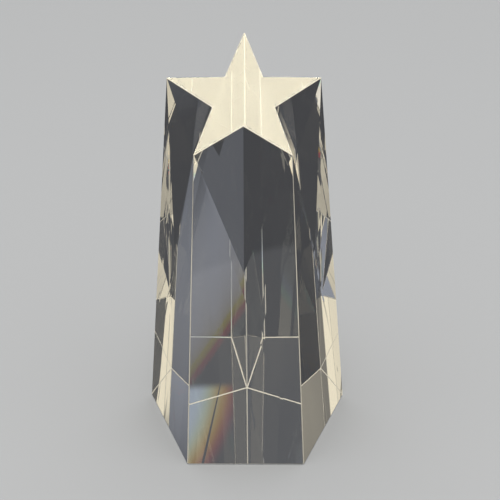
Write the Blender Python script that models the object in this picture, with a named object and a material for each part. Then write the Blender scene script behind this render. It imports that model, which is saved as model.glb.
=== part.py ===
"""Star trophy: one block of polished optical crystal, cut as a leaning five-sided tower.

The tower's top is one sloping plane that carries a regular five-pointed star. Every side
face is a flat plane through two neighbouring star tips, leaning outward towards the base
by its own draft angle. A V-groove runs down each side face from the star's inner corner
and runs out at its foot on that face. Metres, +Z up, front towards -Y.
"""

import math

import bmesh
import bpy
from mathutils import Matrix, Vector

# Driving dimensions
HEIGHT = 0.150                      # floor to the star's highest tip
STAR_RADIUS = 0.0285                # centre to tip, measured in the sloping plane
TOP_SLOPE = math.radians(27.3)      # the top plane rises towards the back
INNER_RATIO = 0.397                 # inner corner radius as a share of the tip radius
FRONT_DRAFT = math.radians(8.8)
SIDE_DRAFT = math.radians(5.8)
BACK_DRAFT = 0.0                    # the two back faces stand upright
FRONT_FOOT = 0.082                  # heights at which the grooves run out
SIDE_FOOT = 0.080
BACK_FOOT = 0.107
EDGE_CHAMFER = 0.0003               # polished bevel on the ridges, star outline and base

# Star tips in order round the tower, as angles in the top plane from +X
TIP_ANGLES = {"back": 90, "left": 162, "front_left": 234, "front_right": 306, "right": 18}
# Each side face: the two tips it passes through, its draft and its groove's foot height
SIDE_FACES = (
    ("back", "left", BACK_DRAFT, BACK_FOOT),
    ("left", "front_left", SIDE_DRAFT, SIDE_FOOT),
    ("front_left", "front_right", FRONT_DRAFT, FRONT_FOOT),
    ("front_right", "right", SIDE_DRAFT, SIDE_FOOT),
    ("right", "back", BACK_DRAFT, BACK_FOOT),
)
HALF_SECTOR = 36.0                  # from a tip to the next inner corner, in degrees


def clear_scene():
    """Removes every object of the open scene."""
    for item in list(bpy.data.objects):
        bpy.data.objects.remove(item)


def on_top_plane(angle_deg, radius):
    """A point of the sloping top plane, with the star's centre over the Z axis."""
    angle = math.radians(angle_deg)
    across, up_slope = radius * math.cos(angle), radius * math.sin(angle)
    centre_height = HEIGHT - STAR_RADIUS * math.sin(TOP_SLOPE)
    return Vector((across, up_slope * math.cos(TOP_SLOPE),
                   centre_height + up_slope * math.sin(TOP_SLOPE)))


def side_plane(first_tip, second_tip, draft):
    """Outward normal of the plane through two tips that leans outward by draft."""
    rim = (second_tip - first_tip).normalized()
    level = rim.cross(Vector((0, 0, 1))).normalized()
    if level.dot(first_tip) < 0:
        level.negate()
    upward = rim.cross(level)
    if upward.z < 0:
        upward.negate()
    tilt = math.asin(math.sin(draft) / upward.z)
    return level * math.cos(tilt) + upward * math.sin(tilt)


def floor_corner(normal_a, point_a, normal_b, point_b):
    """Where two side planes meet at floor level."""
    system = Matrix(((normal_a.x, normal_a.y), (normal_b.x, normal_b.y)))
    offsets = Vector((normal_a.dot(point_a), normal_b.dot(point_b)))
    corner = system.inverted() @ offsets
    return Vector((corner.x, corner.y, 0.0))


def groove_foot(base_corners, tips, height):
    """Middle of a side face at the given height, between its two ridges."""
    on_ridges = [corner.lerp(tip, height / tip.z) for corner, tip in zip(base_corners, tips)]
    return (on_ridges[0] + on_ridges[1]) / 2


def tower_corners():
    """Star tips, inner star corners, base corners and groove feet, each in face order."""
    tips = {name: on_top_plane(angle, STAR_RADIUS) for name, angle in TIP_ANGLES.items()}
    ordered = [tips[face[0]] for face in SIDE_FACES]
    inner = [on_top_plane(TIP_ANGLES[face[0]] + HALF_SECTOR, STAR_RADIUS * INNER_RATIO)
             for face in SIDE_FACES]
    normals = [side_plane(tips[a], tips[b], draft) for a, b, draft, _ in SIDE_FACES]
    base = [floor_corner(normals[i - 1], ordered[i], normals[i], ordered[i])
            for i in range(len(SIDE_FACES))]
    feet = []
    for i, (_, _, _, foot_height) in enumerate(SIDE_FACES):
        j = (i + 1) % len(SIDE_FACES)
        feet.append(groove_foot((base[i], base[j]), (ordered[i], ordered[j]), foot_height))
    return ordered, inner, base, feet


def centred_on_base(groups):
    """Moves every point so that the base's depth is centred on the origin."""
    depths = [point.y for point in groups[2]]
    shift = Vector((0, -(min(depths) + max(depths)) / 2, 0))
    return [[point + shift for point in group] for group in groups]


def crystal_mesh():
    """The closed block: star top, side faces, two walls for each groove, and the base."""
    build = bmesh.new()
    tips, inner, base, feet = (
        [build.verts.new(point) for point in group]
        for group in centred_on_base(tower_corners())
    )
    count = len(tips)
    build.faces.new([corner for pair in zip(tips, inner) for corner in pair])
    build.faces.new(base)
    for i in range(count):
        j = (i + 1) % count
        build.faces.new((base[i], base[j], tips[j], feet[i], tips[i]))
        build.faces.new((tips[i], feet[i], inner[i]))
        build.faces.new((inner[i], feet[i], tips[j]))
    bmesh.ops.recalc_face_normals(build, faces=build.faces)
    chamfered = [edge for edge in build.edges if not any(v in feet for v in edge.verts)]
    bmesh.ops.bevel(build, geom=chamfered, offset=EDGE_CHAMFER, segments=1,
                    profile=0.5, affect="EDGES", clamp_overlap=True)
    mesh = bpy.data.meshes.new("crystal_tower")
    build.to_mesh(mesh)
    build.free()
    return mesh


def crystal_material():
    """Clear, colourless optical crystal."""
    material = bpy.data.materials.new("optical_crystal")
    material.use_nodes = True
    shader = material.node_tree.nodes["Principled BSDF"]
    shader.inputs["Base Color"].default_value = (0.98, 0.98, 0.96, 1.0)
    shader.inputs["Roughness"].default_value = 0.0
    shader.inputs["Metallic"].default_value = 0.0
    shader.inputs["IOR"].default_value = 1.517
    shader.inputs["Transmission Weight"].default_value = 1.0
    return material


def main():
    clear_scene()
    tower = bpy.data.objects.new("crystal_tower", crystal_mesh())
    bpy.context.collection.objects.link(tower)
    tower.data.materials.append(crystal_material())


main()
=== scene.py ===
"""Look of the star trophy: polished optical crystal with finely ground bevels, on a pale floor."""

import math

import bmesh
import bpy
from mathutils import Matrix, Vector

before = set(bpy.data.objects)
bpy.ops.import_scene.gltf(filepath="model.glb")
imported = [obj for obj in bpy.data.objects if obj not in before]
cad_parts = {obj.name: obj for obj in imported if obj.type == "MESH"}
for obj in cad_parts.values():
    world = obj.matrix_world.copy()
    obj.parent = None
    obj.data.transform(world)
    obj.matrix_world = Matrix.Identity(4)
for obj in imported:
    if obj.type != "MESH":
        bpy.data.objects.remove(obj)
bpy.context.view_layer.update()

# Lengths are in metres and angles in degrees where nothing else is said.
CRYSTAL_IOR = 1.517
DISPERSION = 0.0055                  # index above and below the middle, for blue and for red
BEVEL_WIDTH = 0.0012                 # triangles slimmer than this belong to a bevel
RIDGE_CLIMB = 0.05                   # bevels that rise further than this follow a ridge
EDGE_SCATTER = 0.95                  # white scatter's share of the light on base and star bevels
RIDGE_SCATTER = 0.5                  # and on the finer bevels of the ridges
REPEAT_SHARE = 0.1                   # what is left of the scatter in repeated mirror images
REPEATED = 1.5                       # mirrorings above which an image counts as repeated
SCATTER_COLOUR = (0.97, 0.95, 0.89, 1.0)
BEVEL_ROUGHNESS = 0.25
SHADOW_PASS = 0.85                   # share of a shadow ray that each polished face lets through
LIGHT_BOUNCES = 32

CREAM = (1.0, 0.90, 0.66)
COOL = (0.80, 0.86, 1.0)
NEUTRAL = (1.0, 1.0, 1.0)

# Soft cards round the crystal: azimuth and elevation of the middle, radius, soft rim,
# colour and strength. Azimuth 0 is behind the trophy, 90 is on its right.
# The outside of the crystal mirrors the first set, which lights matte surfaces too.
MIRRORED_CARDS = (
    (0, 90, 13, 4, CREAM, 17.5),         # overhead softbox, over the star
    (172, -43, 26, 0.5, NEUTRAL, 0.6),   # low card in front of the front panel
)
# The second set shows through the crystal. It is weaker, so that nothing burns out.
REFRACTED_CARDS = (
    (0, 90, 13, 4, CREAM, 1.1),          # overhead softbox
    (100, 5, 8, 20, CREAM, 0.95),        # side walls
    (-100, 5, 8, 20, CREAM, 0.95),
    (95, 58, 11, 2, CREAM, 0.55),        # ceiling cards over the side walls
    (-95, 58, 11, 2, CREAM, 0.55),
    (50, 35, 15, 7, COOL, 0.3),          # rear corners, cool on the right, warm on the left
    (-60, 40, 10, 12, CREAM, 0.8),
    (0, 10, 10, 36, CREAM, 0.45),        # wash on the rear wall
    (180, 33, 14, 11, CREAM, 0.45),      # in front, round the camera
    (152, 38, 4, 2, CREAM, 0.8),
    (-165, 5, 10, 2, CREAM, 0.8),
    (50, -30, 6, 3, CREAM, 0.6),         # glints low behind
    (-50, -30, 6, 3, CREAM, 0.6),
    (45, -40, 4, 12, COOL, 0.23),        # sheen on the table
    (10, -45, 3, 10, COOL, 0.06),
)
# Card at the front right with a coloured edge. Only its part above the ledge shows.
SPECTRUM_MIDDLE = (129, 42)          # azimuth and elevation
SPECTRUM_CHANNELS = (                # each colour's radius and strength
    ("Red", 7.6, 0.20),
    ("Green", 7.2, 0.24),
    ("Blue", 6.8, 0.29),
)
SPECTRUM_RIM = 1.3
SPECTRUM_LEDGE = 44.1                # elevation
LEDGE_SOFTNESS = 0.5
FILL = (1.32, 1.24, 1.06)            # even light added on matte surfaces
HORIZON = -16.0                      # elevation at which the table gives way to the room
HORIZON_SOFTNESS = 1.0
ROOM = (0.075, 0.077, 0.083)
TABLE = (0.058, 0.059, 0.063)
BACKDROP = (0.57, 0.57, 0.56, 1.0)   # what the camera sees behind the floor

FLOOR_RADIUS = 6.0
FLOOR_SIDES = 96
FLOOR_GAP = 0.0003                   # drop of the floor under the base
FLOOR_COLOUR = (0.222, 0.244, 0.307, 1.0)
FLOOR_ROUGHNESS = 0.35
FLOOR_SHEEN = 0.3

CAMERA_AZIMUTH = 1.27                # to the right of the front
CAMERA_ELEVATION = 35.68
CAMERA_ROLL = -0.0117                # radians
CAMERA_TARGET = (0.0, 0.0074, 0.0684)
CAMERA_DISTANCE = 0.4575
CAMERA_SHIFT = (0.009, 0.0182)       # in picture widths
FOCAL_LENGTH = 87.0                  # millimetres, like the sensor's width
SENSOR_WIDTH = 36.0


def direction(azimuth, elevation):
    """Unit vector towards an azimuth (0 behind, 90 right) and elevation."""
    az, el = math.radians(azimuth), math.radians(elevation)
    return Vector((math.sin(az) * math.cos(el), math.cos(az) * math.cos(el), math.sin(el)))


class Nodes:
    """Small helper that adds and links shader nodes."""

    def __init__(self, tree):
        self.tree = tree
        tree.nodes.clear()

    def add(self, kind, **settings):
        node = self.tree.nodes.new(kind)
        for name, value in settings.items():
            setattr(node, name, value)
        return node

    def link(self, source, target):
        """Connects a socket, or sets a plain value."""
        if isinstance(source, bpy.types.NodeSocket):
            self.tree.links.new(source, target)
        else:
            target.default_value = source

    def math(self, operation, first, second):
        node = self.add("ShaderNodeMath", operation=operation)
        self.link(first, node.inputs[0])
        self.link(second, node.inputs[1])
        return node.outputs[0]

    def vector(self, operation, first, second):
        node = self.add("ShaderNodeVectorMath", operation=operation)
        self.link(first, node.inputs[0])
        self.link(second, node.inputs[1])
        return node.outputs["Value" if operation == "DOT_PRODUCT" else "Vector"]

    def smooth(self, value, low, high):
        """0 below low, 1 above high, smooth between."""
        node = self.add("ShaderNodeMapRange", interpolation_type="SMOOTHSTEP")
        self.link(value, node.inputs["Value"])
        node.inputs["From Min"].default_value = low
        node.inputs["From Max"].default_value = high
        return node.outputs["Result"]

    def scaled(self, colour, factor):
        """A colour times a factor."""
        node = self.add("ShaderNodeVectorMath", operation="SCALE")
        self.link(colour, node.inputs[0])
        self.link(factor, node.inputs["Scale"])
        return node.outputs["Vector"]

    def mix(self, share, first, second):
        """Two shaders mixed, with this share of the second."""
        node = self.add("ShaderNodeMixShader")
        self.link(share, node.inputs[0])
        self.link(first, node.inputs[1])
        self.link(second, node.inputs[2])
        return node.outputs[0]


def new_material(name):
    """Empty material, and the helper for its nodes."""
    material = bpy.data.materials.new(name)
    material.use_nodes = True
    return material, Nodes(material.node_tree)


def inside_card(nodes, nearness, radius, rim):
    """1 inside a round card and 0 beyond its soft rim, from the cosine to its middle."""
    return nodes.smooth(nearness, math.cos(math.radians(radius + rim)),
                        math.cos(math.radians(radius)))


def cards_light(nodes, towards, cards):
    """Light of a set of soft round cards in each direction."""
    light = (0.0, 0.0, 0.0)
    for azimuth, middle, radius, rim, colour, strength in cards:
        nearness = nodes.vector("DOT_PRODUCT", towards, direction(azimuth, middle))
        inside = inside_card(nodes, nearness, radius, rim)
        light = nodes.vector("ADD", light,
                             nodes.scaled(colour, nodes.math("MULTIPLY", inside, strength)))
    return light


def above(nodes, towards, elevation, softness):
    """1 above an elevation, and 0 further below it than the softness."""
    height = nodes.add("ShaderNodeSeparateXYZ")
    nodes.link(towards, height.inputs[0])
    return nodes.smooth(height.outputs["Z"], math.sin(math.radians(elevation - softness)),
                        math.sin(math.radians(elevation)))


def spectrum_card(nodes, towards):
    """Card that reaches furthest in red and least in blue, so that its edge is coloured."""
    nearness = nodes.vector("DOT_PRODUCT", towards, direction(*SPECTRUM_MIDDLE))
    ledge = above(nodes, towards, SPECTRUM_LEDGE, LEDGE_SOFTNESS)
    colour = nodes.add("ShaderNodeCombineColor")
    for channel, radius, strength in SPECTRUM_CHANNELS:
        inside = inside_card(nodes, nearness, radius, SPECTRUM_RIM)
        nodes.link(nodes.math("MULTIPLY", nodes.math("MULTIPLY", inside, strength), ledge),
                   colour.inputs[channel])
    return colour.outputs[0]


def room_light(nodes, towards):
    """Dim room above the edge of the table, darker table below it."""
    room = above(nodes, towards, HORIZON, HORIZON_SOFTNESS)
    return nodes.vector("ADD", nodes.scaled(ROOM, room),
                        nodes.scaled(TABLE, nodes.math("SUBTRACT", 1.0, room)))


def studio_light(nodes, path):
    """Studio in each direction: what the outside mirrors, and what shows through the crystal."""
    towards = nodes.add("ShaderNodeTexCoord").outputs["Generated"]
    through = nodes.math("MINIMUM", path.outputs["Transmission Depth"], 1.0)
    outside = nodes.math("SUBTRACT", 1.0, through)
    fill = nodes.scaled(FILL, path.outputs["Is Diffuse Ray"])
    light = nodes.vector("ADD", room_light(nodes, towards), fill)
    mirrored = cards_light(nodes, towards, MIRRORED_CARDS)
    refracted = nodes.vector("ADD", cards_light(nodes, towards, REFRACTED_CARDS),
                             spectrum_card(nodes, towards))
    for cards, share in ((mirrored, outside), (refracted, through)):
        light = nodes.vector("ADD", light, nodes.scaled(cards, share))
    return light


def build_world():
    """The camera sees a plain pale backdrop, and every other ray sees the studio."""
    world = bpy.data.worlds.new("studio")
    bpy.context.scene.world = world
    world.use_nodes = True
    nodes = Nodes(world.node_tree)
    studio, backdrop = nodes.add("ShaderNodeBackground"), nodes.add("ShaderNodeBackground")
    path = nodes.add("ShaderNodeLightPath")
    nodes.link(studio_light(nodes, path), studio.inputs["Color"])
    backdrop.inputs["Color"].default_value = BACKDROP
    seen = nodes.mix(path.outputs["Is Camera Ray"], studio.outputs[0], backdrop.outputs[0])
    nodes.link(seen, nodes.add("ShaderNodeOutputWorld").inputs["Surface"])


def fresnel_colour(nodes):
    """Share of light reflected at the surface, apart for red, green and blue."""
    colour = nodes.add("ShaderNodeCombineColor")
    for channel, offset in zip(("Red", "Green", "Blue"), (-DISPERSION, 0.0, DISPERSION)):
        share = nodes.add("ShaderNodeFresnel")
        share.inputs["IOR"].default_value = CRYSTAL_IOR + offset
        nodes.link(share.outputs[0], colour.inputs[channel])
    return colour.outputs[0]


def lit_through(nodes, shader):
    """Lets most shadow rays through, so that the crystal's shadow stays light."""
    clear = nodes.add("ShaderNodeBsdfTransparent")
    shadow = nodes.add("ShaderNodeLightPath").outputs["Is Shadow Ray"]
    return nodes.mix(nodes.math("MULTIPLY", shadow, SHADOW_PASS), shader, clear.outputs[0])


def polished_crystal():
    """Clear crystal whose limit of total reflection differs a little by colour."""
    material, nodes = new_material("polished_crystal")
    reflected = fresnel_colour(nodes)
    passed = nodes.vector("SUBTRACT", NEUTRAL, reflected)
    mirror = nodes.add("ShaderNodeBsdfGlossy")
    mirror.inputs["Roughness"].default_value = 0.0
    nodes.link(reflected, mirror.inputs["Color"])
    through = nodes.add("ShaderNodeBsdfRefraction")
    through.inputs["Roughness"].default_value = 0.0
    # The lowest index of the three, so that light is bent wherever any colour gets through.
    through.inputs["IOR"].default_value = CRYSTAL_IOR - DISPERSION
    nodes.link(passed, through.inputs["Color"])
    crystal = nodes.add("ShaderNodeAddShader")
    nodes.link(mirror.outputs[0], crystal.inputs[0])
    nodes.link(through.outputs[0], crystal.inputs[1])
    nodes.link(lit_through(nodes, crystal.outputs[0]),
               nodes.add("ShaderNodeOutputMaterial").inputs["Surface"])
    return material


def ground_bevel(name, scatter_share):
    """Ground bevel: frosted crystal with a white scatter that fades in repeated images."""
    material, nodes = new_material(name)
    frosted = nodes.add("ShaderNodeBsdfGlass")
    frosted.inputs["Roughness"].default_value = BEVEL_ROUGHNESS
    frosted.inputs["IOR"].default_value = CRYSTAL_IOR
    outside, inside = nodes.add("ShaderNodeBsdfDiffuse"), nodes.add("ShaderNodeBsdfTranslucent")
    for scatter in (outside, inside):
        scatter.inputs["Color"].default_value = SCATTER_COLOUR
    scattered = nodes.mix(0.5, outside.outputs[0], inside.outputs[0])
    mirrored = nodes.add("ShaderNodeLightPath").outputs["Glossy Depth"]
    repeated = nodes.math("GREATER_THAN", mirrored, REPEATED)
    lost = nodes.math("MULTIPLY", repeated, scatter_share * (1.0 - REPEAT_SHARE))
    bevel = nodes.mix(nodes.math("SUBTRACT", scatter_share, lost), frosted.outputs[0], scattered)
    nodes.link(bevel, nodes.add("ShaderNodeOutputMaterial").inputs["Surface"])
    return material


def slimness(mesh, polygon):
    """Twice the area over the longest side: a triangle's height on that side."""
    corners = [mesh.vertices[i].co for i in polygon.vertices]
    sides = [(corners[i] - corners[i - 1]).length for i in range(len(corners))]
    return 2 * polygon.area / max(sides)


def finish_of(mesh, polygon):
    """Material slot of a triangle: 0 polished face, 1 base or star bevel, 2 ridge bevel."""
    if slimness(mesh, polygon) > BEVEL_WIDTH:
        return 0
    heights = [mesh.vertices[i].co.z for i in polygon.vertices]
    return 2 if max(heights) - min(heights) > RIDGE_CLIMB else 1


def dress_tower():
    """Polished faces and ground bevels on the CAD block."""
    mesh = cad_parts["crystal_tower"].data
    mesh.materials.clear()
    for finish in (polished_crystal(), ground_bevel("ground_edge_bevel", EDGE_SCATTER),
                   ground_bevel("ground_ridge_bevel", RIDGE_SCATTER)):
        mesh.materials.append(finish)
    for polygon in mesh.polygons:
        polygon.use_smooth = False
        polygon.material_index = finish_of(mesh, polygon)


def pale_floor():
    """Plain pale floor with a faint sheen. The crystal neither mirrors nor refracts it."""
    mesh = bpy.data.meshes.new("floor")
    build = bmesh.new()
    bmesh.ops.create_circle(build, cap_ends=True, segments=FLOOR_SIDES, radius=FLOOR_RADIUS)
    build.to_mesh(mesh)
    build.free()
    floor = bpy.data.objects.new("floor", mesh)
    floor.location.z = -FLOOR_GAP
    bpy.context.collection.objects.link(floor)
    floor.visible_transmission = False
    floor.visible_glossy = False
    material = bpy.data.materials.new("pale_floor")
    material.use_nodes = True
    shader = material.node_tree.nodes["Principled BSDF"]
    shader.inputs["Base Color"].default_value = FLOOR_COLOUR
    shader.inputs["Roughness"].default_value = FLOOR_ROUGHNESS
    shader.inputs["Specular IOR Level"].default_value = FLOOR_SHEEN
    mesh.materials.append(material)


def photo_camera():
    """Camera at the reference viewing angle: 36 degrees up, a touch to the right."""
    back = direction(180.0 - CAMERA_AZIMUTH, CAMERA_ELEVATION)
    data = bpy.data.cameras.new("camera")
    data.lens, data.sensor_width = FOCAL_LENGTH, SENSOR_WIDTH
    data.shift_x, data.shift_y = CAMERA_SHIFT
    camera = bpy.data.objects.new("camera", data)
    bpy.context.collection.objects.link(camera)
    roll = Matrix.Rotation(CAMERA_ROLL, 3, "Z").to_quaternion()
    camera.rotation_mode = "QUATERNION"
    camera.rotation_quaternion = (-back).to_track_quat("-Z", "Y") @ roll
    camera.location = Vector(CAMERA_TARGET) + back * CAMERA_DISTANCE
    bpy.context.scene.camera = camera


def light_paths():
    """Many bounces inside the crystal, no caustics, and a plain tone curve."""
    scene = bpy.context.scene
    scene.cycles.max_bounces = LIGHT_BOUNCES
    scene.cycles.transmission_bounces = LIGHT_BOUNCES
    scene.cycles.glossy_bounces = LIGHT_BOUNCES
    scene.cycles.caustics_reflective = False
    scene.cycles.caustics_refractive = False
    scene.view_settings.view_transform = "Standard"


build_world()
dress_tower()
pale_floor()
photo_camera()
light_paths()
